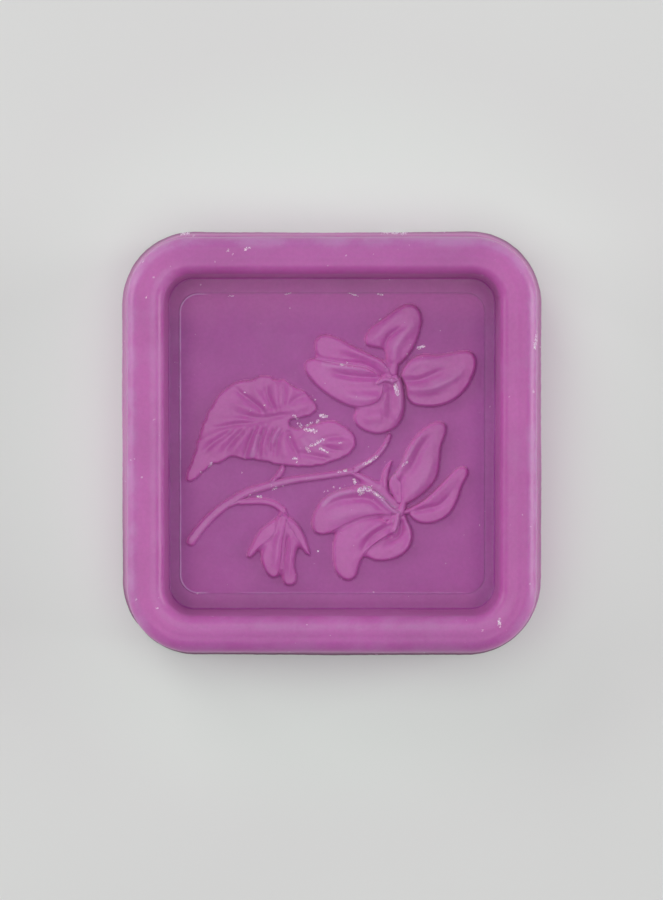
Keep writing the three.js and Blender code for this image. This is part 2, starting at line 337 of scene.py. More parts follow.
# Dried soap on the tray: half-width, strength and line of each smear
TRAY_SMEARS = [
    (0.9, 0.7, [(10.4, 42.9), (14.6, 42.7)]), (0.7, 0.63, [(-30.2, 42.5), (-29.2, 42.5)]),
    (0.7, 0.58, [(40.3, 21.6), (40.1, 20.6)]), (0.5, 0.58, [(39.8, 19.8), (39.7, 19.2)]),
    (0.35, 0.7, [(-38.3, -30.2)]), (0.3, 0.68, [(-34.2, -31.9)]), (0.3, 0.68, [(29.6, -36.3)]),
    (0.35, 0.68, [(32.7, -34.5), (32.8, -35.4)]), (0.3, 0.63, [(-36.3, 29)]), (0.3, 0.63, [(-36.9, 36)]),
    (0.3, 0.7, [(-20.3, 38)]), (0.3, 0.63, [(-17, 38.2), (-16.2, 38.6)]), (0.25, 0.68, [(-19.6, 37.4)]),
    (0.2, 0.68, [(-3.9, 33.2), (-3.9, 32.4)]), (0.2, 0.68, [(-1.9, 31), (-0.6, 32)]),
]
TRAY_STEPS = (48, 130)  # points round each corner and along each side
# The flash round the mould: bearing in degrees from +X, width, and how much painted shadow darkens its edge
FLASH = [
    (0, 1.7, 0.3), (30, 1.65, 0.4), (46, 1.7, 0.7), (62, 1.35, 0.5), (90, 1.25, 0.15), (118, 1.3, 0.5),
    (134, 1.65, 0.7), (152, 1.8, 0.3), (180, 1.8, 0.15), (208, 1.75, 0.6), (226, 1.65, 0.8), (244, 1.75, 0.9),
    (270, 1.9, 0.9), (298, 1.8, 0.9), (311, 1.8, 0.8), (320, 1.65, 0.3), (340, 1.75, 0.5),
]
FLASH_THICKNESS = 0.42
FLASH_TOP = 1.2  # the flash and the fillet over it lie below this height
ROUNDNESS = 0.88  # 1 would round the rim's edges as ellipses, and less is squarer
CREST_CROWN = 0.1
POCKET_GAP = 0.05  # between the plate and the side of its pocket
SMEARED_FLANK = 3  # residue lies on the rim down to this far below the outer shoulder
FLANK_FILM = (0.12, 0.34)  # pale tone on the rim's outer flank, dried soap with painted highlight, and how much more painted highlight lies off the -Y side
LIP_FILM = 0.2  # painted highlight on the rim's inner edge, on the -X and -Y sides
END_SHADE = 0.3  # how much painted shade darkens the rim along its two ends


def by_bearing(points, column):
    """A column of the flash's table at each point's bearing."""
    table = np.array(FLASH)
    bearing = np.degrees(np.arctan2(points[:, 1], points[:, 0]))
    return np.interp(bearing, table[:, 0], table[:, column], period=360)


def flange_widths(loop):
    """Width of the torn skin of flash at each place round the foot."""
    points = at_height(loop, 0)
    width = by_bearing(loop, 1) + 0.06 * rough(points, 9, 1) + 0.05 * rough(points, 0.9, 2)
    notch = np.exp(-((np.hypot(loop[:, 0] - 40.2, loop[:, 1] + 34.4) / 0.5) ** 2))
    chip = np.exp(-((np.hypot(loop[:, 0] + 38.5, loop[:, 1] + 37.3) / 1.2) ** 2))
    return width - 0.7 * notch - 0.5 * chip


def wall_section():
    """Profile of the wall as distance from the corners' centres and height, from foot to floor."""
    outer_centre = WALL_CORNER - OUTER_ROUND
    inner = WALL_CORNER - INNER_SHOULDER_INSET
    inner_centre = inner + INNER_ROUND
    foot = WALL_CORNER - WALL_THICKNESS
    above_floor = FLOOR_TOP + FLOOR_FILLET
    turn = np.linspace(0, math.pi / 2, 22)
    over, up = np.cos(turn) ** ROUNDNESS, np.sin(turn) ** ROUNDNESS
    wall_heights = np.linspace(1.1, OUTER_SHOULDER - 0.8, 16)
    wall = [(WALL_CORNER + WALL_LEAN * (1 - z / OUTER_SHOULDER), z) for z in wall_heights]
    outer_round = np.column_stack([
        outer_centre + OUTER_ROUND * over, OUTER_SHOULDER + (RIM_TOP - OUTER_SHOULDER) * up])
    share = np.linspace(0, 1, 9)[1:-1]
    crown = CREST_CROWN * (1 - np.cos(2 * math.pi * share)) / 2
    crest = np.column_stack([outer_centre + (inner_centre - outer_centre) * share, RIM_TOP + crown])
    inner_round = np.column_stack([
        inner_centre - INNER_ROUND * up, INNER_SHOULDER + (RIM_TOP - INNER_SHOULDER) * over])
    down = np.linspace(0, 1, 16)[1:, None]
    cavity = np.array([inner, INNER_SHOULDER]) * (1 - down) + np.array([foot, above_floor]) * down
    turn_out = turn[3::3]
    corner = np.column_stack([
        foot - FLOOR_FILLET * (1 - np.cos(turn_out)), above_floor - FLOOR_FILLET * np.sin(turn_out)])
    return [*wall, *outer_round, *crest, *inner_round, *cavity, *corner]


def tray_rings():
    """Rings over the tray's skin: its underside, flash, wall, rim, cavity, floor and the plate's pocket."""
    foot = wall_loop(WALL_CORNER + WALL_LEAN, *TRAY_STEPS)
    widths = flange_widths(foot)
    outward = wall_loop(WALL_CORNER + WALL_LEAN + 1, *TRAY_STEPS) - foot
    edge = FLASH_THICKNESS + 0.1 * rough(at_height(foot, 0), 1.6, 4)
    rings = [at_height(foot * share, 0) for share in (0.25, 0.5, 0.75, 0.9)]
    for share, lift in ((0, 0), (0.5, 0), (0.9, 0), (0.99, 0.15), (1, 0.5), (0.97, 0.9), (0.9, 1)):
        rings.append(at_height(foot + outward * (widths * share)[:, None], edge * lift))
    for share, height in ((0.6, 0.5), (0.32, 0.56), (0.15, 0.66), (0.05, 0.84)):
        rings.append(at_height(foot + outward * (widths * share)[:, None], height))
    rings += [at_height(wall_loop(r, *TRAY_STEPS), z) for r, z in wall_section()]
    inner = rings[-1][:, :2]
    pocket = rounded_loop(PLATE_HALF + POCKET_GAP, PLATE_CORNER + POCKET_GAP, *TRAY_STEPS)
    rings += [at_height(inner + (pocket - inner) * s, FLOOR_TOP) for s in (0.3, 0.6, 0.85, 0.97)]
    rings.append(at_height(pocket, FLOOR_TOP - 0.01))
    rings += [at_height(pocket, z) for z in np.linspace(FLOOR_TOP - 0.4, POCKET_FLOOR, 4)]
    return rings + [at_height(pocket * share, POCKET_FLOOR) for share in (0.75, 0.5, 0.25)]


def floor_shade(verts, fade):
    """How much painted shade darkens the floor: most along the left and right walls, and less by a share
    towards +Y.
    """
    beside_wall = smoothstep(26, 30.5, np.abs(verts[:, 0]))
    return (FLOOR_SHADE + (1 - FLOOR_SHADE) * beside_wall) * (1 - fade * smoothstep(22, 30, verts[:, 1]))


def paint_tray(tray, verts):
    """Sets where the tray is crusted and thin, and where it has painted shadow, dried soap with painted
    highlight, and painted shade.
    """
    x, y, z = verts.T
    past_wall = np.linalg.norm(verts[:, :2] - np.clip(verts[:, :2], -CORNER_CENTRE, CORNER_CENTRE), axis=1)
    past_wall -= WALL_CORNER
    past_foot = past_wall - WALL_LEAN
    on_flash = z < FLASH_TOP
    on_rim = z > OUTER_SHOULDER - SMEARED_FLANK
    # painted shadow along the flash's outer edge, as strong as the flash's table lists
    flash_edge = smoothstep(0.45, 0.2, by_bearing(verts, 1) - past_foot)
    # painted highlight with some dried soap on the rim's outer flank, most away from the -Y side, and painted
    # highlight on its inner edge
    flank = smoothstep(-2.8, -1.2, past_wall) * smoothstep(-2.5, 0.5, z - OUTER_SHOULDER)
    flank_film = FLANK_FILM[0] + FLANK_FILM[1] * smoothstep(-40, -32, y)
    lip = smoothstep(-4.2, -5.2, past_wall) * smoothstep(-3.5, -1, z - RIM_TOP)
    lip_film = LIP_FILM * smoothstep(-28, -33, np.minimum(x, y))
    # painted shade on the floor and along the rim's two ends
    on_floor = smoothstep(0.4, 0, past_wall + WALL_THICKNESS) * smoothstep(1.2, 0.2, z - FLOOR_TOP)
    ends = smoothstep(32, 37, np.abs(y)) * smoothstep(36, 28, np.abs(x))
    set_attributes(
        tray,
        residue=smears(verts, TRAY_SMEARS) * (on_flash | on_rim),
        thin=smoothstep(0.2, 0.8, past_foot) * on_flash,
        grime=by_bearing(verts, 2) * flash_edge * on_flash,
        film=flank * flank_film + lip * lip_film,
        recessed=np.maximum(on_floor * floor_shade(verts, 0.5), END_SHADE * ends),
    )


def build_tray(material):
    verts, faces = loft(tray_rings())
    normals = vertex_normals(verts, faces)
    off_plate = (np.abs(verts[:, :2]) - PLATE_HALF).max(1)
    above = smoothstep(0.8, 3, verts[:, 2]) * smoothstep(0.3, 1.2, off_plate)
    shift = 0.07 * rough(verts, 11, 5) + 0.02 * rough(verts, 2.6, 6)
    verts = verts + normals * (shift * above)[:, None]
    verts[:, 2] = np.maximum(verts[:, 2], 0)
    tray = make_object("tray_casting", verts, faces, material, "tray", ["mould_tray"])
    paint_tray(tray, verts)


# ---- soap residue, and pale bands of dried soap with painted highlight

# Half-width, strength and line of each smear on the plate and its relief
RESIDUE = [
    # leaf and its notch
    (0.55, 0.67, [(-5.3, 2.8), (-3.2, 2.5)]),
    (0.4, 0.63, [(-1.7, 0.9), (-2.6, 0.3), (-3.4, -0.2), (-4.2, -0.3)]),
    (0.35, 0.54, [(-2.4, -0.9), (-0.9, -1.6)]), (0.5, 0.67, [(-2.2, 5.6), (-1.2, 5.4)]),
    (0.35, 0.61, [(-2.8, 4.6), (-3, 4.2)]), (0.3, 0.59, [(-4.1, 4.2), (-4.7, 3.7), (-5.2, 3.5)]),
    (0.4, 0.59, [(-6.3, 3.8), (-6.2, 3.3)]), (0.3, 0.56, [(-6.9, 4)]),
    (0.4, 0.59, [(-7, 5.1), (-7.6, 5.7)]),
    (0.3, 0.63, [(-3.4, 8.8)]), (0.25, 0.61, [(-3.8, 9.6)]), (0.3, 0.63, [(-17.4, 10.3)]),
    (0.3, 0.51, [(-13.5, 7.7)]), (0.35, 0.56, [(-16.2, 6.8)]), (0.4, 0.61, [(-7.6, -2.9), (-7, -2.9)]),
    (0.25, 0.56, [(-7, -3.6)]), (0.25, 0.61, [(-26.2, -5.7)]), (0.35, 0.56, [(-24.4, -4.4), (-24.1, -3.8)]),
    (0.25, 0.56, [(1.5, 0.2), (2, 0.2)]), (0.3, 0.51, [(-8.4, 1.3)]),
    (0.5, 0.47, [(-5, -0.8), (-4.6, -1.4)]),
    # upper violet
    (0.55, 0.63, [(12.6, 11.6), (12.9, 10.7), (13, 9.9)]), (0.35, 0.63, [(1.8, 15.8), (2.2, 15.8)]),
    (0.25, 0.61, [(4.1, 15.4)]), (0.3, 0.63, [(3, 16.2)]), (0.2, 0.57, [(2.8, 15.6)]),
    (0.45, 0.75, [(17.2, 19.1), (18.4, 19.5)]), (0.25, 0.61, [(15, 17.9)]), (0.2, 0.51, [(10.7, 15.3)]),
    # lower violet
    (0.65, 0.63, [(5.4, -9.3), (6.4, -8.8), (7.6, -9.1)]), (0.5, 0.55, [(5.6, -10), (6.2, -9.6)]),
    (0.45, 0.51, [(8.4, -9.7), (10.2, -11)]), (0.3, 0.61, [(0.4, -8.7)]), (0.25, 0.63, [(1.6, -8.9)]),
    (0.25, 0.63, [(2.5, -8.4)]), (0.22, 0.61, [(-0.8, -9.4)]), (0.25, 0.61, [(-1.6, -9.6)]),
    (0.25, 0.57, [(3.7, -9.2)]), (0.35, 0.67, [(4.4, -7.2), (4.6, -7.9)]), (0.25, 0.57, [(7.9, -8.5)]),
    (0.3, 0.51, [(14, -4.4), (15, -3.6)]),
    # stems
    (0.3, 0.59, [(1.2, -5.6), (1.8, -5.6)]), (0.35, 0.63, [(2.4, -5.4), (2.8, -5.3)]),
    (0.45, 0.53, [(6.4, -4.1), (7.6, -3.5), (9, -2.6)]), (0.3, 0.57, [(-5, -6.9)]),
    (0.3, 0.61, [(-9.8, -8.4)]), (0.3, 0.59, [(-11.9, -9.2), (-11, -8.7)]), (0.25, 0.56, [(-12.2, -8.4)]),
    (0.4, 0.73, [(-14.8, -10.6), (-14.2, -10.6)]), (0.3, 0.51, [(-16.4, -10.3)]),
    # floor
    (0.25, 0.67, [(-2.8, -21.5)]), (0.2, 0.57, [(-18.1, -5.8)]), (0.25, 0.57, [(-27, -30)]),
    (0.2, 0.61, [(3.2, 30.1), (4.8, 29.6)]), (0.2, 0.61, [(-9.4, 29.8), (-8.2, 30.1)]),
    (0.22, 0.63, [(-20.6, 29.5), (-19.8, 29.5)]), (0.2, 0.51, [(9, 29.8), (10.2, 29.7)]),
]
# Pale bands along the ridges, dried soap with painted highlight: half-width, strength and line
FILM = [
    (0.9, 0.45, [(5.6, -9.3), (7.6, -9.3), (9.4, -10.4), (11.2, -12.2), (13.2, -13.7)]),
    (0.7, 0.38, [(5, -9.4), (2.4, -9.7), (0, -10.4), (-1.8, -12)]),
    (0.8, 0.34, [(13.3, -14), (12.6, -17.6)]),
    (0.6, 0.45, [(4.4, -5.4), (7.4, -3.6), (9.6, -2.2), (10.8, -0.4)]),
    (0.8, 0.3, [(12.2, -6.6), (14.6, -3.4), (16, -0.6)]),
    (0.8, 0.38, [(-14.7, 1.4), (-15.3, -0.2), (-15.9, -2.2)]), (0.6, 0.3, [(-10.6, 2.8), (-11.9, 0.5)]),
    (0.6, 0.3, [(9.2, 12.2), (10.4, 12.8), (11.8, 12.8)]),
    (0.8, 0.3, [(13, 12.8), (13.6, 10.6), (13.6, 7.6)]),
    (0.8, 0.26, [(-1.6, 16), (3, 15.4), (6.6, 15)]), (1.6, 0.19, [(-5, 0.6), (-2.4, 0.2)]),
    (0.8, 0.22, [(-28, -19), (-22, -12.6), (-12, -8.2), (-3, -6.9), (4, -5.8)]),
    (0.6, 0.22, [(5, -6.2), (7.6, -7.4), (9.4, -8.6)]), (0.7, 0.22, [(15, -15.6), (15.4, -18.6)]),
]


# ---- relief

CELL = 0.15  # spacing of the surface points over the plate
REACH = 1.8  # how far outside its outline a piece's height is followed
BLEND = 0.34  # pieces run into each other and into the plate over this height
APRON_SLOPE = 1.5  # how steeply a piece falls away outside its outline
SUNK = 0.3  # how far a piece's foot goes down into the plate
TUCK = 1.0  # how far a piece goes on under one that overlaps it
MEETING = 1.6  # pieces this close run together where one overlaps the other
CAD_GAP = 0.3  # the clearance between neighbouring pieces in the CAD
GROWN = CAD_GAP / 2  # each piece is wider by this than its CAD foot
EDGE_POWER = 0.65  # below 1 makes the pieces' edges rounder and steeper
EDGE_GLOW = 0.8  # how strongly painted light brightens steep edges
GLOW_FROM = (-0.6, 0.8)  # the side that those edges face
RIDGE_FILM = 0.3  # how much painted highlight lies on the relief's highest parts
RIDGE_HEIGHTS = (1.7, 2.5)  # it grows from nothing to that between these heights
NO_PIECE = -1


def shape(crown, edge, dome=0.0, folds=(), bridges=(), under=()):
    """A piece's form. crown is its height just inside its rounded edge, edge is that edge's width, and
    dome is how much higher its middle rises. A fold is a depth (a ridge if negative), a half-width and
    its line. A bridge is two ends and a half-width, and joins the piece to a neighbour. under names the
    pieces that overlap it."""
    return {"crown": crown, "edge": edge, "dome": dome, "folds": folds, "bridges": bridges, "under": under}


LEAF_PLEATS = [
    # the midrib's furrow, which forks
    (0.45, 0.55, [(-8.6, 5.9), (-11, 5.5), (-14, 5.2), (-17.4, 5.5), (-21, 6.3)]),
    (0.35, 0.5, [(-12.4, 4.6), (-15.6, 4.2), (-19, 3.9), (-22.4, 3.2), (-26, 2.6)]),
    (-0.23, 0.77, [(-16, 4.8), (-19, 4.9), (-22, 4.6), (-25.4, 3.8)]),
    # above it
    (-0.27, 0.99, [(-8.6, 6.8), (-8.5, 9.2), (-8, 11.8), (-7.6, 13.6)]),
    (0.35, 0.55, [(-9.8, 7.2), (-9.6, 9.4), (-9.7, 11.6), (-9.8, 14)]),
    (-0.32, 0.88, [(-10.8, 7), (-11.1, 9.2), (-11.3, 11.6), (-11.4, 14.5)]),
    (0.42, 0.55, [(-11.5, 6.8), (-12.4, 8.3), (-13, 10.2), (-13.2, 13.6)]),
    (-0.32, 0.88, [(-12.6, 6.4), (-13.6, 8), (-15, 10), (-16.4, 13.4)]),
    (0.39, 0.55, [(-13.6, 6.3), (-14.7, 7.3), (-16.2, 8.5), (-18.6, 10.4), (-20.4, 12.6)]),
    (-0.32, 0.88, [(-15, 6.3), (-16.4, 7), (-18.8, 7.7), (-21.6, 8.8)]),
    (0.32, 0.61, [(-8.8, 7.4), (-7.4, 8.7), (-5.6, 9.6), (-3, 10.6)]),
    (-0.23, 0.99, [(-8, 6.4), (-6, 7.4), (-3.6, 7.9)]),
    # below it
    (0.56, 0.55, [(-8.6, 2.2), (-8.4, 0.8), (-7.8, -0.6), (-6.9, -2.4), (-6.6, -4.4)]),
    (-0.32, 0.99, [(-9.5, 2.6), (-9.6, 0.4), (-9.3, -2), (-8.8, -5)]),
    (0.39, 0.5, [(-9.9, 2.6), (-10.9, 1), (-11.2, -0.8), (-11.4, -4.6)]),
    (-0.36, 0.55, [(-10.5, 3), (-11.3, 1.6), (-11.9, 0.2), (-12, -2)]),
    (0.35, 0.44, [(-11.4, 3), (-12.1, 1.4), (-12.5, -0.4), (-12.6, -4)]),
    (-0.36, 0.66, [(-12.7, 3), (-13.3, 1), (-13.7, -1), (-13.8, -4.4)]),
    (0.45, 0.5, [(-13.2, 3.6), (-13.9, 2), (-14.5, 0.2), (-14.6, -1.8), (-14.6, -4.4)]),
    (-0.54, 0.72, [(-14.2, 3.6), (-14.9, 1.6), (-15.4, -0.2), (-15.9, -2.2), (-16.4, -4.6)]),
    (0.39, 0.55, [(-15.2, 3.2), (-16.1, 1.4), (-16.8, -0.6), (-17.4, -2.4), (-18, -4.4)]),
    (-0.36, 0.83, [(-16.4, 3), (-17.8, 1), (-19.2, -0.8), (-20.6, -3.4)]),
    (0.35, 0.55, [(-17.4, 3), (-19.2, 1.4), (-20.6, -0.2), (-22.4, -3)]),
    (-0.32, 0.88, [(-18.6, 3), (-20.6, 1.4), (-22.8, -0.6), (-25, -3.4)]),
    (0.35, 0.55, [(-20, 2.6), (-22.4, 1), (-24.4, -0.4), (-26.8, -3)]),
    (-0.27, 0.88, [(-20.4, 3.4), (-23, 2), (-25.4, 0.8), (-28, -1.6)]),
    # the right lobe
    (0.32, 0.55, [(-6.4, -1.9), (-4.2, -2.3), (-1.6, -2.8), (0.6, -3.4)]),
    (0.28, 0.55, [(-2.6, 0.6), (-0.4, 1.2), (1.6, 1.4), (4, 1.4)]),
    (0.28, 0.55, [(-3.6, 0.2), (-1.6, -0.6), (0.6, -1.2), (3.4, -1.8)]),
    (-0.27, 0.99, [(-1.6, 0.2), (1.2, 0.2), (4.4, 0.2)]),
    (-0.27, 0.99, [(-6.4, 1.6), (-5.2, 0), (-3.4, -1.2)]),
]
SHAPES = {
    # upper violet
    "upper_stamen": shape(2.2, 0.55, bridges=[((11.8, 12.7), (12.8, 12.6), 0.6)]),
    "upper_petal_left": shape(1.6, 0.55, 0.4, [
        (-0.4, 0.7, [(9.2, 13.9), (7.2, 14.8), (4.2, 15.2), (0.6, 15.5), (-3, 16.2)]),
        (0.65, 0.6, [(10.4, 13.3), (7.2, 13.2), (4.2, 13.4), (1.4, 13.9), (-1.6, 14.6)]),
        (0.2, 1, [(10.2, 10.9), (7.6, 10.8), (4.4, 11), (1, 12.2)]),
        (-0.3, 0.9, [(9.8, 9.4), (7, 8.9), (4.2, 9.2), (1, 10.7)])], under=["upper_stamen"]),
    "upper_petal_upper_left": shape(1.35, 0.55, 0.3, [
        (-0.5, 0.8, [(11.2, 14.8), (9.6, 16.3), (7, 17.4), (3.6, 18.8), (0, 20.4)]),
        (0.25, 0.9, [(8, 15.9), (5, 16.7), (2, 17.4), (-1.4, 18.4)])],
        bridges=[((11, 14.8), (11.5, 13.4), 0.8)], under=["upper_petal_left", "upper_stamen"]),
    "upper_petal_top": shape(1.5, 0.6, 0.5, [
        (0.75, 0.55, [(10.5, 17.8), (10.6, 19.9), (11.4, 21.4), (12.8, 22.5), (15.4, 23.9)]),
        (-0.35, 1, [(12, 17.2), (12.8, 19.6), (14.4, 21.8), (16.2, 23.8), (17.6, 25.8)]),
        (-0.25, 0.9, [(8, 20.6), (10, 22.8), (12.4, 24.9), (15.2, 26.8)])],
        bridges=[((12.6, 16.6), (12.3, 14.2), 0.9)], under=["upper_petal_upper_left"]),
    "upper_petal_right": shape(1.6, 0.6, 0.4, [
        (0.55, 0.65, [(14.2, 12.6), (16.6, 12.6), (18.8, 13.2), (21.2, 14.2), (24.6, 15.2)]),
        (-0.35, 0.8, [(16, 10.8), (19.6, 11.1), (22.8, 12.4), (25.4, 14), (27.4, 16.4)]),
        (-0.3, 1, [(14.8, 14.6), (17, 16.2), (20.2, 16.4), (24.4, 17)]),
        (0.25, 1, [(15.4, 9.4), (18.2, 9), (21.4, 9.6), (24.6, 11.6)])]),
    "upper_petal_bottom": shape(1.35, 0.55, 0.3, [
        (-0.65, 0.75, [(12.8, 13.2), (13.5, 11.2), (13.6, 8.8), (13.5, 6.8), (12.6, 4.8), (10.8, 3.6)]),
        (0.65, 0.8, [(11.4, 11.6), (11.7, 9.8), (11.6, 8), (11.4, 6.2), (10.4, 4.8)]),
        (-0.3, 1.1, [(10.2, 5.6), (8, 5.4), (5.6, 4.8)])],
        bridges=[((12.8, 12), (12.6, 13.3), 0.8), ((11.4, 10.4), (10.8, 11.6), 0.8)],
        under=["upper_petal_left", "upper_stamen"]),
    # lower violet
    "lower_spur": shape(2.2, 0.75, bridges=[((13.2, -13.9), (13.1, -15), 0.8)]),
    "lower_petal_left": shape(1.6, 0.55, 0.4, [
        (-0.55, 0.75, [(13.4, -13.8), (11.8, -12.6), (10, -10.9), (8.4, -9.6), (6.6, -9.1), (3, -9.6),
                       (0.4, -10.2), (-2.2, -12.2)]),
        (0.5, 0.7, [(10.8, -13.4), (9.4, -12.4), (7.6, -11.2), (5, -10.9), (1.6, -11.3), (-0.8, -12.6),
                    (-2.2, -15)]),
        (-0.25, 1.2, [(9.4, -13.6), (5.4, -13.6), (1.6, -14.6), (-1.6, -16.2)])],
        bridges=[((12.4, -13.6), (13.4, -13.9), 0.8)]),
    "lower_petal_bottom_left": shape(1.45, 0.55, 0.4, [
        (-0.35, 0.8, [(10.6, -15.4), (8.2, -16.8), (6, -18.6), (4.4, -21)]),
        (0.45, 0.6, [(11.6, -16.4), (9.6, -17.3), (8, -18.5), (6.6, -20.2), (5.6, -22.4)]),
        (-0.35, 0.6, [(12.4, -17.6), (10.2, -18.6), (8.4, -20.2), (7, -22.2)])],
        bridges=[((11.2, -16.2), (12.6, -15.2), 0.8), ((10.4, -15.1), (12.2, -15), 0.3)],
        under=["lower_petal_left", "lower_spur"]),
    "lower_petal_bottom_right": shape(1.3, 0.55, 0.3, [
        (-0.5, 0.7, [(14.6, -15.2), (15.4, -17.2), (15.4, -19.4), (14.2, -21.4), (11.6, -22.4)]),
        (0.7, 0.6, [(13.8, -15.8), (13.9, -17.3), (13.2, -18.6), (11.4, -19.6), (9.4, -21)])],
        bridges=[((14.6, -15.6), (14, -14.2), 0.7)], under=["lower_petal_bottom_left", "lower_spur"]),
    "lower_petal_right": shape(1.35, 0.55, 0.3, [
        (0.45, 0.55, [(16, -13.6), (18.8, -13), (21.2, -12.4), (23, -10.8), (24.8, -8)]),
        (-0.3, 0.8, [(16.4, -12.6), (19.4, -11.2), (22.4, -8.6), (25.8, -5.6)])],
        bridges=[((15.8, -13.4), (14.4, -13.6), 0.65)], under=["lower_spur"]),
    "lower_petal_top": shape(1.6, 0.55, 0.4, [
        (-0.4, 0.9, [(12.8, -5.8), (14.4, -3.6), (15.7, -1.2), (17, 0.8), (18.8, 2.4), (21.6, 3.8)]),
        (0.35, 0.75, [(15.2, -6), (16.6, -3.6), (17.6, -1.4), (19, 0.8), (21, 2.8)]),
        (-0.25, 1.1, [(15.2, -10.4), (17.8, -8), (19.6, -4.6), (20.6, -0.6)]),
        (0.55, 0.5, [(13.3, -12), (13.4, -9.6), (13.7, -7.4), (15, -5.6)])],
        bridges=[((14.3, -11.6), (13.9, -13.6), 0.8)], under=["lower_petal_left", "lower_spur"]),
    "lower_sepal_outer": shape(1.1, 0.45, under=["lower_petal_top"]),
    "lower_sepal_inner": shape(1.3, 0.5, bridges=[((12.4, -9.4), (13.2, -11.4), 0.6)],
                               under=["lower_petal_top"]),
    # bud
    "bud_sepal_left": shape(1.5, 0.6, bridges=[((-10.4, -15), (-9.9, -14), 0.6)]),
    "bud_sepal_right": shape(1.4, 0.6, bridges=[((-9, -15), (-9.7, -14), 0.6)]),
    "bud_petal_left": shape(1.4, 0.55, 0.4, [
        (-0.45, 0.8, [(-10.2, -17), (-10.7, -20), (-11, -23), (-11.6, -25.4)])],
        bridges=[((-10, -17.4), (-9.6, -14.8), 0.8)], under=["bud_sepal_left"]),
    "bud_petal_right": shape(1.3, 0.55, 0.3, [
        (-0.4, 0.6, [(-8, -18), (-8, -21), (-8.4, -24.4), (-8.6, -27.2)])],
        bridges=[((-8.4, -18.4), (-9.2, -16.4), 0.6), ((-9.2, -17.6), (-9.9, -25), 0.12)],
        under=["bud_sepal_right", "bud_petal_left"]),
    # leaf and stems
    "leaf": shape(1.25, 0.45, 0.2, LEAF_PLEATS),
    "main_stem": shape(0.85, 0.6),
    "leaf_stalk": shape(0.75, 0.45, bridges=[
        ((-11.4, -7), (-12.8, -8.5), 0.55), ((-10.1, -5.4), (-9.8, -4.2), 0.5)]),
    "bud_stalk": shape(0.85, 0.5, bridges=[
        ((-15.8, -11.5), (-18.6, -11.6), 0.65), ((-18.6, -11.6), (-21, -12.5), 0.5),
        ((-9.8, -13.2), (-9.8, -14.4), 0.7)]),
    "upper_violet_stalk": shape(0.7, 0.45, bridges=[
        ((5.2, -5.2), (4.1, -5.8), 0.5)]),
    "lower_violet_stalk": shape(0.85, 0.5, bridges=[((5.2, -6.4), (4.1, -5.9), 0.5)],
                                under=["lower_sepal_outer", "lower_petal_left"]),
}


def spline(points, count):
    """A smooth line through points, at count places."""
    points = np.asarray(points, float)
    padded = np.concatenate([[2 * points[0] - points[1]], points, [2 * points[-1] - points[-2]]])
    place = np.linspace(0, len(points) - 1 - 1e-9, count)
    first = place.astype(int)
    t = (place - first)[:, None]
    p0, p1, p2, p3 = (padded[first + k] for k in range(4))
    square = 2 * p0 - 5 * p1 + 4 * p2 - p3
    cube = 3 * p1 - p0 - 3 * p2 + p3
    return 0.5 * (2 * p1 + (p2 - p0) * t + square * t**2 + cube * t**3)


def boundary_of_foot(name):
    """The corners round the underside of a CAD node, in order."""
    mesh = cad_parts[name].data
    keys = {}
    merged = [keys.setdefault(tuple(round(c / MM, 3) for c in v.co), len(keys)) for v in mesh.vertices]
    places = np.array(list(keys))
    low = places[:, 2].min() + 0.01
    directed = set()
    for face in mesh.polygons:
        around = [merged[i] for i in face.vertices]
        if all(places[k, 2] < low for k in around):
            directed |= set(zip(around, around[1:] + around[:1]))
    step = {a: b for a, b in directed if (b, a) not in directed}
    chain = [min(step)]
    while step[chain[-1]] != chain[0]:
        chain.append(step[chain[-1]])
    return places[chain, :2]


def smooth_closed(points, spacing, blur):
    """The closed line resampled at an even spacing and rounded off by a blur of that length."""
    closed = np.concatenate([points, points[:1]])
    along = np.concatenate([[0], np.cumsum(np.linalg.norm(np.diff(closed, axis=0), axis=1))])
    count = int(along[-1] / spacing)
    place = np.arange(count) * along[-1] / count
    even = np.column_stack([np.interp(place, along, closed[:, k]) for k in range(2)])
    frequency = np.fft.fftfreq(count, along[-1] / count)
    keep = np.exp(-2 * (math.pi * blur * frequency) ** 2)
    return np.real(np.fft.ifft(np.fft.fft(even, axis=0) * keep[:, None], axis=0))


def outward_normals(outline):
    along = np.roll(outline, -1, 0) - np.roll(outline, 1, 0)
    turned = np.roll(outline, -1, 0)
    area = np.sum(outline[:, 0] * turned[:, 1] - outline[:, 1] * turned[:, 0])
    outward = np.column_stack([along[:, 1], -along[:, 0]]) * np.sign(area)
    return outward / np.linalg.norm(outward, axis=1)[:, None]


def foot_outline(name):
    """The smoothed outline of a piece's foot. The leaf's is crinkled."""
    outline = smooth_closed(boundary_of_foot(name), 0.05, 0.32)
    if name != "leaf":
        return outline
    flat = at_height(outline, 0)
    ripple = rough(flat, 1.5, 11) + 0.5 * rough(flat, 0.7, 12)
    return smooth_closed(outline + outward_normals(outline) * (0.26 * ripple)[:, None], 0.05, 0.12)


def inside_distance(name, columns, rows):
    """How far inside a piece's outline each grid point lies, down to -REACH outside it."""
    outline = foot_outline(name)
    outward = outward_normals(outline)
    tree = kdtree.KDTree(len(outline))
    for i, (x, y) in enumerate(outline):
        tree.insert((x, y, 0), i)
    tree.balance()
    low, high = outline.min(0) - REACH, outline.max(0) + REACH
    across = slice(*np.searchsorted(columns, (low[0], high[0])))
    up = slice(*np.searchsorted(rows, (low[1], high[1])))
    points = np.stack(np.meshgrid(columns[across], rows[up], indexing="ij"), -1)
    flat = points.reshape(-1, 2)
    nearest = np.array([tree.find((x, y, 0))[1] for x, y in flat])
    offset = flat - outline[nearest]
    side = np.sign(np.einsum("ij,ij->i", offset, outward[nearest]))
    distance = np.full((len(columns), len(rows)), -REACH)
    near = -side * np.linalg.norm(offset, axis=1)
    distance[across, up] = np.maximum(near, -REACH).reshape(points.shape[:2])
    return distance


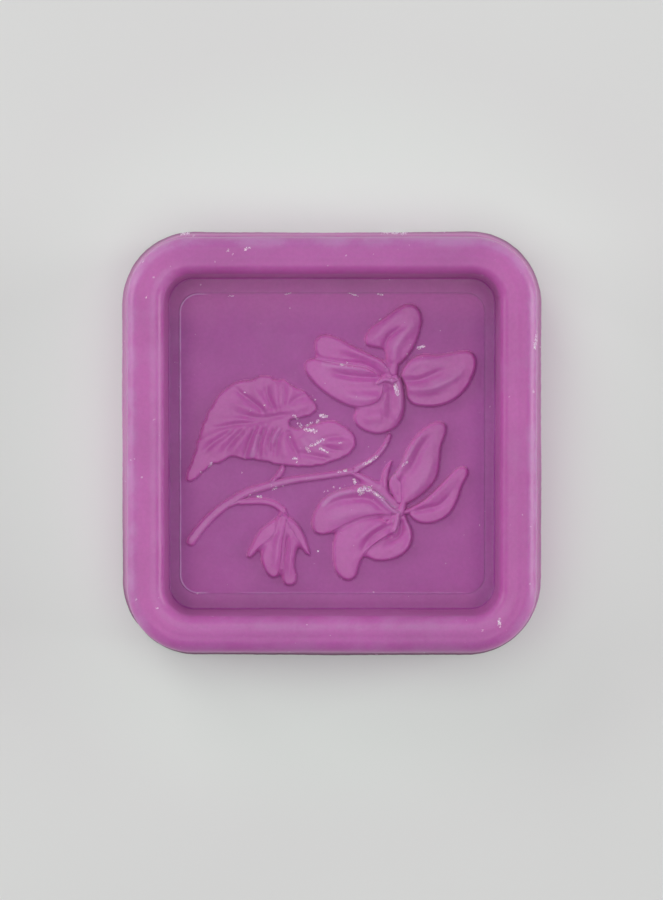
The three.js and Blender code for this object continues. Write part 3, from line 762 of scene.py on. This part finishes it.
def fold_depth(points, depth, half_width, line):
    """A fold's depth at each point: it starts at half its depth and fades out at its end."""
    places = spline(line, 40)
    away = np.linalg.norm(points[:, None, :] - places[None], axis=2)
    share = away.argmin(1) / (len(places) - 1)
    fade = smoothstep(1.0, 0.6, share) * (0.5 + 0.5 * smoothstep(0, 0.15, share))
    return depth * fade * np.exp(-((away.min(1) / half_width) ** 2))


def piece_height(name, distances, grid):
    """A piece's height above the plate at each grid point, negative outside the piece."""
    form = SHAPES[name]
    inside = distances[name] + GROWN
    for start, end, half_width in form["bridges"]:
        inside = np.maximum(inside, half_width - segment_distance(grid, start, end))
    own = inside
    for other in form["under"]:
        over = distances[other] + GROWN
        joined = smooth_max(own, over, MEETING)
        inside = np.maximum(inside, np.minimum(joined, own + TUCK))
    height = APRON_SLOPE * inside
    within = inside > 0
    depth_in = inside[within]
    share = np.clip(depth_in / form["edge"], 0, 1)
    surface = form["crown"] + form["dome"] * (1 - np.exp(-depth_in / 2))
    for fold in form["folds"]:
        surface -= fold_depth(grid[within], *fold)
    height[within] = np.maximum(surface, 0.3) * (share * (2 - share)) ** EDGE_POWER
    return height


def smooth_max(a, b, reach):
    overlap = np.maximum(reach - np.abs(a - b), 0) / reach
    return np.maximum(a, b) + overlap**2 * reach / 4


def corners(field):
    """The field at the four corners of every cell between its grid points."""
    return field[:-1, :-1], field[1:, :-1], field[:-1, 1:], field[1:, 1:]


def settle_owners(owner):
    """Gives stray cells to their surroundings, so that each piece is one patch with no pinched corners."""
    for index in range(len(SHAPES)):
        left = set(map(tuple, np.argwhere(owner == index)))
        patches = []
        while left:
            front = [left.pop()]
            patch = list(front)
            while front:
                i, j = front.pop()
                for beside in ((i + 1, j), (i - 1, j), (i, j + 1), (i, j - 1)):
                    if beside in left:
                        left.remove(beside)
                        front.append(beside)
                        patch.append(beside)
            patches.append(patch)
        for patch in sorted(patches, key=len)[:-1]:
            for cell in patch:
                owner[cell] = NO_PIECE
    for _ in range(12):
        a, b, c, d = corners(owner)
        falling = (a == d) & (b != a) & (c != a)
        rising = (b == c) & (a != b) & (d != b)
        if not (falling | rising).any():
            break
        b[falling] = a[falling]
        rising &= ~falling & (b == c) & (a != b) & (d != b)
        a[rising] = b[rising]
    return owner


def straighten(points, owner):
    """Draws the stepped lines between pieces smooth, by moving the grid points on them."""
    padded = np.pad(owner, 1, constant_values=NO_PIECE)
    along_x = (padded[1:-1, :-1] != padded[1:-1, 1:])[..., None]
    along_y = (padded[:-1, 1:-1] != padded[1:, 1:-1])[..., None]
    for _ in range(5):
        total = np.zeros_like(points)
        count = np.zeros((*points.shape[:2], 1))
        for along, low, high in ((along_x, np.s_[:-1], np.s_[1:]), (along_y, np.s_[:, :-1], np.s_[:, 1:])):
            total[low] += along * points[high]
            total[high] += along * points[low]
            count[low] += along
            count[high] += along
        points = np.where(count == 2, 0.5 * points + 0.25 * total, points)
    return points


def sample(field, columns, rows, points):
    """The field's value at places between its grid points."""
    i = np.clip(((points[..., 0] - columns[0]) / CELL).astype(int), 0, len(columns) - 2)
    j = np.clip(((points[..., 1] - rows[0]) / CELL).astype(int), 0, len(rows) - 2)
    s = (points[..., 0] - columns[i]) / CELL
    t = (points[..., 1] - rows[j]) / CELL
    near = field[i, j] * (1 - s) + field[i + 1, j] * s
    far = field[i, j + 1] * (1 - s) + field[i + 1, j + 1] * s
    return near * (1 - t) + far * t


def edge_glow(surface):
    """How much painted light lies on the surface at each grid point: on steep slopes facing the upper left,
    towards -X and +Y.
    """
    across, up = np.gradient(surface, CELL)
    slope = np.hypot(across, up)
    facing = -(GLOW_FROM[0] * across + GLOW_FROM[1] * up) / np.maximum(slope, 0.01)
    return EDGE_GLOW * smoothstep(0.5, 2.2, slope) * smoothstep(-0.2, 0.6, facing)


def relief_field():
    """The surface that the plate and its relief share: grid points, their height, how much painted light lies
    there, and each cell's piece."""
    columns = np.arange(-PLATE_HALF[0], PLATE_HALF[0] + CELL, CELL)
    rows = np.arange(-PLATE_HALF[1], PLATE_HALF[1] + CELL, CELL)
    grid = np.stack(np.meshgrid(columns, rows, indexing="ij"), -1)
    distances = {name: inside_distance(name, columns, rows) for name in SHAPES}
    surface = np.zeros(grid.shape[:2])
    best = np.zeros((len(columns) - 1, len(rows) - 1))
    owner = np.full(best.shape, NO_PIECE)
    for index, name in enumerate(SHAPES):
        height = piece_height(name, distances, grid)
        surface = smooth_max(surface, height, BLEND)
        middle = sum(corners(height)) / 4
        owner[middle > best] = index
        best = np.maximum(best, middle)
    owner = settle_owners(owner)
    flat = at_height(grid.reshape(-1, 2), 0)
    raised = smoothstep(0.2, 1.0, surface)
    uneven = 0.05 * rough(flat, 2.2, 13) + 0.03 * rough(flat, 0.9, 14)
    surface = surface + raised * uneven.reshape(surface.shape)
    points = straighten(grid, owner)
    height, glow = (sample(field, columns, rows, points) for field in (surface, edge_glow(surface)))
    return points, height, glow, owner


def patch_mesh(points, cells, *fields):
    """The cells as quads of renumbered points, those points, and each field's value at them."""
    up = points.shape[1]
    i, j = cells.T
    quads = np.stack([i * up + j, (i + 1) * up + j, (i + 1) * up + j + 1, i * up + j + 1], 1)
    used, quads = np.unique(quads, return_inverse=True)
    values = [field.reshape(-1)[used] for field in fields]
    return quads.reshape(-1, 4), points.reshape(-1, 2)[used], *values


def border_edges(quads):
    """The edges round the outside of a patch, each in its quad's direction."""
    directed = np.concatenate([np.stack([quads[:, k], quads[:, (k + 1) % 4]], 1) for k in range(4)])
    pairs = set(map(tuple, directed.tolist()))
    return [(a, b) for a, b in directed.tolist() if (b, a) not in pairs]


def build_relief_piece(index, name, field, material):
    points, height, glow, owner = field
    top, flat, raised, shining = patch_mesh(points, np.argwhere(owner == index), height, glow)
    count = len(flat)
    verts = np.concatenate([at_height(flat, FLOOR_TOP + raised), at_height(flat, FLOOR_TOP - SUNK)])
    side = [[a, a + count, b + count, b] for a, b in border_edges(top)]
    bottom = top[:, ::-1] + count
    faces = top.tolist() + side + bottom.tolist()
    obj = make_object(name + "_surface", verts, faces, material, "plate", [name])
    obj.data.polygons.foreach_set("use_smooth", [k < len(top) for k in range(len(faces))])
    on_top = np.arange(len(verts)) < count
    heights = np.concatenate([raised, np.zeros(count)])
    # painted shade on the pieces' low feet, painted light on their edges that face -X and +Y, and pale dried
    # soap with painted highlight on the ridges
    set_attributes(
        obj,
        residue=smears(verts, RESIDUE) * on_top,
        glow=np.concatenate([shining, np.zeros(count)]),
        recessed=FLOOR_SHADE * (1 - smoothstep(0.05, 0.6, heights)),
        film=np.maximum(RIDGE_FILM * smoothstep(*RIDGE_HEIGHTS, heights), smears(verts, FILM)),
    )


# ---- plate

TOP_INSET = 0.55  # the grid ends this far inside the plate's edge
UNDER_PIECES = 0.03  # how far the plate's skin stays below the pieces that cover it
UNDERSIDE = POCKET_FLOOR + 0.01
SEAM_HEIGHT = 0.16  # the moulding line round the plate, where it is strongest
# Across the plate's edge, from the grid outwards: distance in from the edge, and share of the line's height
LIP = [(0.4, 0), (0.3, 0.4), (0.2, 0.9), (0.1, 1), (0, 0.7), (-0.09, 0.12), (-0.1, 0.1)]
# Down the plate's edge from there: distance in from the edge, and height
EDGE = [(-0.12, FLOOR_TOP + 0.005), (0, FLOOR_TOP + 0.01), (0, FLOOR_TOP - 0.8), (0, POCKET_FLOOR + 0.15),
        (0.15, UNDERSIDE)]


def seam_strength(loop):
    """How strongly the moulding line stands out round the plate's edge: on the -X side, patchily along
    the -Y side, and nowhere else."""
    x, y = loop[:, 0], loop[:, 1]
    left = smoothstep(-24, -26.5, x) * (0.85 + 0.15 * smoothstep(20, 26, y))
    foot = smoothstep(-26, -29, y) * smoothstep(-20, -18, x) * smoothstep(28, 25, x)
    patchy = 0.5 + 0.5 * rough(at_height(loop, 0), 6, 8)
    return np.clip(left + 0.45 * foot * patchy, 0, 1)


def build_plate(field, material):
    points, height, glow, owner = field
    core = PLATE_HALF - PLATE_CORNER
    pulled = points - np.clip(points, -core, core)
    inset = PLATE_CORNER - np.linalg.norm(pulled, axis=2)
    inner = inset > TOP_INSET
    cells = np.argwhere(np.logical_and.reduce(corners(inner)))
    covered = np.pad(owner, 1, constant_values=NO_PIECE) != NO_PIECE
    buried = np.logical_and.reduce(corners(covered))
    skin = np.where(buried, np.minimum(height, 0.1) - UNDER_PIECES, height)
    skin = skin + 0.025 * rough(at_height(points.reshape(-1, 2), 0), 9, 9).reshape(skin.shape)
    top, flat, raised, shining = patch_mesh(points, cells, skin, glow)
    edges = border_edges(top)
    border = np.array(sorted({a for a, _ in edges}))
    first, second = np.searchsorted(border, edges).T
    anchor = np.clip(flat[border], -core, core)
    outward = flat[border] - anchor
    outward /= np.linalg.norm(outward, axis=1)[:, None]
    flat[border] = anchor + outward * (PLATE_CORNER - TOP_INSET)
    strength = seam_strength(flat[border])
    rim_height = raised[border]
    rings = []
    for inward, share in LIP:
        ring = anchor + outward * (PLATE_CORNER - inward)
        rings.append(at_height(ring, FLOOR_TOP + rim_height * smoothstep(0, 0.5, inward)
                               + 0.015 + SEAM_HEIGHT * strength * share))
    rings += [at_height(anchor + outward * (PLATE_CORNER - inward), z) for inward, z in EDGE]
    verts = np.concatenate([at_height(flat, FLOOR_TOP + raised), *rings, [[0, 0, UNDERSIDE]]])
    faces = top.tolist()
    ids = [border, *(len(flat) + np.arange(len(rings) * len(border)).reshape(len(rings), -1))]
    for near, far in zip(ids, ids[1:]):
        faces += np.stack([near[second], near[first], far[first], far[second]], 1).tolist()
    centre = np.full(len(edges), len(verts) - 1)
    faces += np.stack([ids[-1][second], ids[-1][first], centre], 1).tolist()
    plate = make_object("relief_plate_casting", verts, faces, material, "plate", ["relief_plate"])
    # a pale line along the moulding line's crest: residue caught there, with painted highlight
    line = np.zeros(len(verts))
    crest = np.outer([share for _, share in LIP], strength).ravel()
    line[len(flat):len(flat) + len(crest)] = crest
    on_top = verts[:, 2] > FLOOR_TOP - 0.1
    # painted shade on the floor, painted light on the plate's steep places, and a pale line on the moulding
    # line's crest
    set_attributes(
        plate,
        film=line,
        glow=np.concatenate([shining, np.zeros(len(verts) - len(flat))]),
        residue=smears(verts, RESIDUE) * on_top,
        recessed=floor_shade(verts, 0.8),
    )


# ---- set


def build_table(material):
    half = 3.0
    square = [(-half, -half, 0), (half, -half, 0), (half, half, 0), (-half, half, 0)]
    mesh = bpy.data.meshes.new("table")
    mesh.from_pydata(square, [], [(0, 1, 2, 3)])
    mesh.materials.append(material)
    place_object("table", mesh)


def area_light(name, place, size, watts):
    light = bpy.data.lights.new(name, "AREA")
    light.size = size
    light.energy = watts
    obj = place_object(name, light)
    obj.location = place
    aim = Vector((0, 0, RIM_TOP * MM / 2)) - Vector(place)
    obj.rotation_mode = "QUATERNION"
    obj.rotation_quaternion = aim.to_track_quat("-Z", "Y")


def build_lights():
    world = bpy.data.worlds.new("studio")
    world.use_nodes = True
    background = world.node_tree.nodes["Background"]
    background.inputs["Color"].default_value = (0.96, 0.97, 1.0, 1)
    background.inputs["Strength"].default_value = 0.3
    bpy.context.scene.world = world
    area_light("window", (-0.08, 0.04, 1.2), 1.15, 6.9)
    area_light("corner_fill", (-0.55, 0.8, 0.6), 0.5, 1.5)
    area_light("left_fill", (-1.0, 0.25, 0.26), 0.6, 3.2)
    area_light("right_fill", (1.0, 0.1, 0.26), 0.6, 4.4)


CAMERA_DISTANCE = 600  # above the rim
FRAME_HEIGHT = 175.9  # what the picture's height covers at the rim
AIM = (-0.1, -1.27)  # the place on the cavity's floor at the picture's middle
CAMERA_LEAN = 15.0  # the camera stands this far towards +Y of straight above


def build_camera():
    data = bpy.data.cameras.new("camera")
    data.sensor_width = 36
    data.lens = data.sensor_width * CAMERA_DISTANCE / FRAME_HEIGHT
    data.clip_start, data.clip_end = 0.01, 20
    camera = place_object("camera", data)
    camera.location = (AIM[0] * MM, CAMERA_LEAN * MM, (RIM_TOP + CAMERA_DISTANCE) * MM)
    down = Vector((AIM[0] * MM, AIM[1] * MM, FLOOR_TOP * MM)) - camera.location
    camera.rotation_euler = (math.atan2(down.y, -down.z), 0, 0)
    bpy.context.scene.camera = camera
    bpy.context.scene.view_settings.view_transform = "Standard"


build_camera()
build_lights()
build_table(table_top())
build_tray(silicone("tray_silicone", RIM_COLOUR, 0.36, 0.09, 0.9))
relief = relief_field()
build_plate(relief, silicone("plate_silicone", RELIEF_COLOUR, 0.48, 0.06, 0.25))
relief_material = silicone("relief_silicone", RELIEF_COLOUR, 0.36, 0.05, 0.25)
for order, piece in enumerate(SHAPES):
    build_relief_piece(order, piece, relief, relief_material)
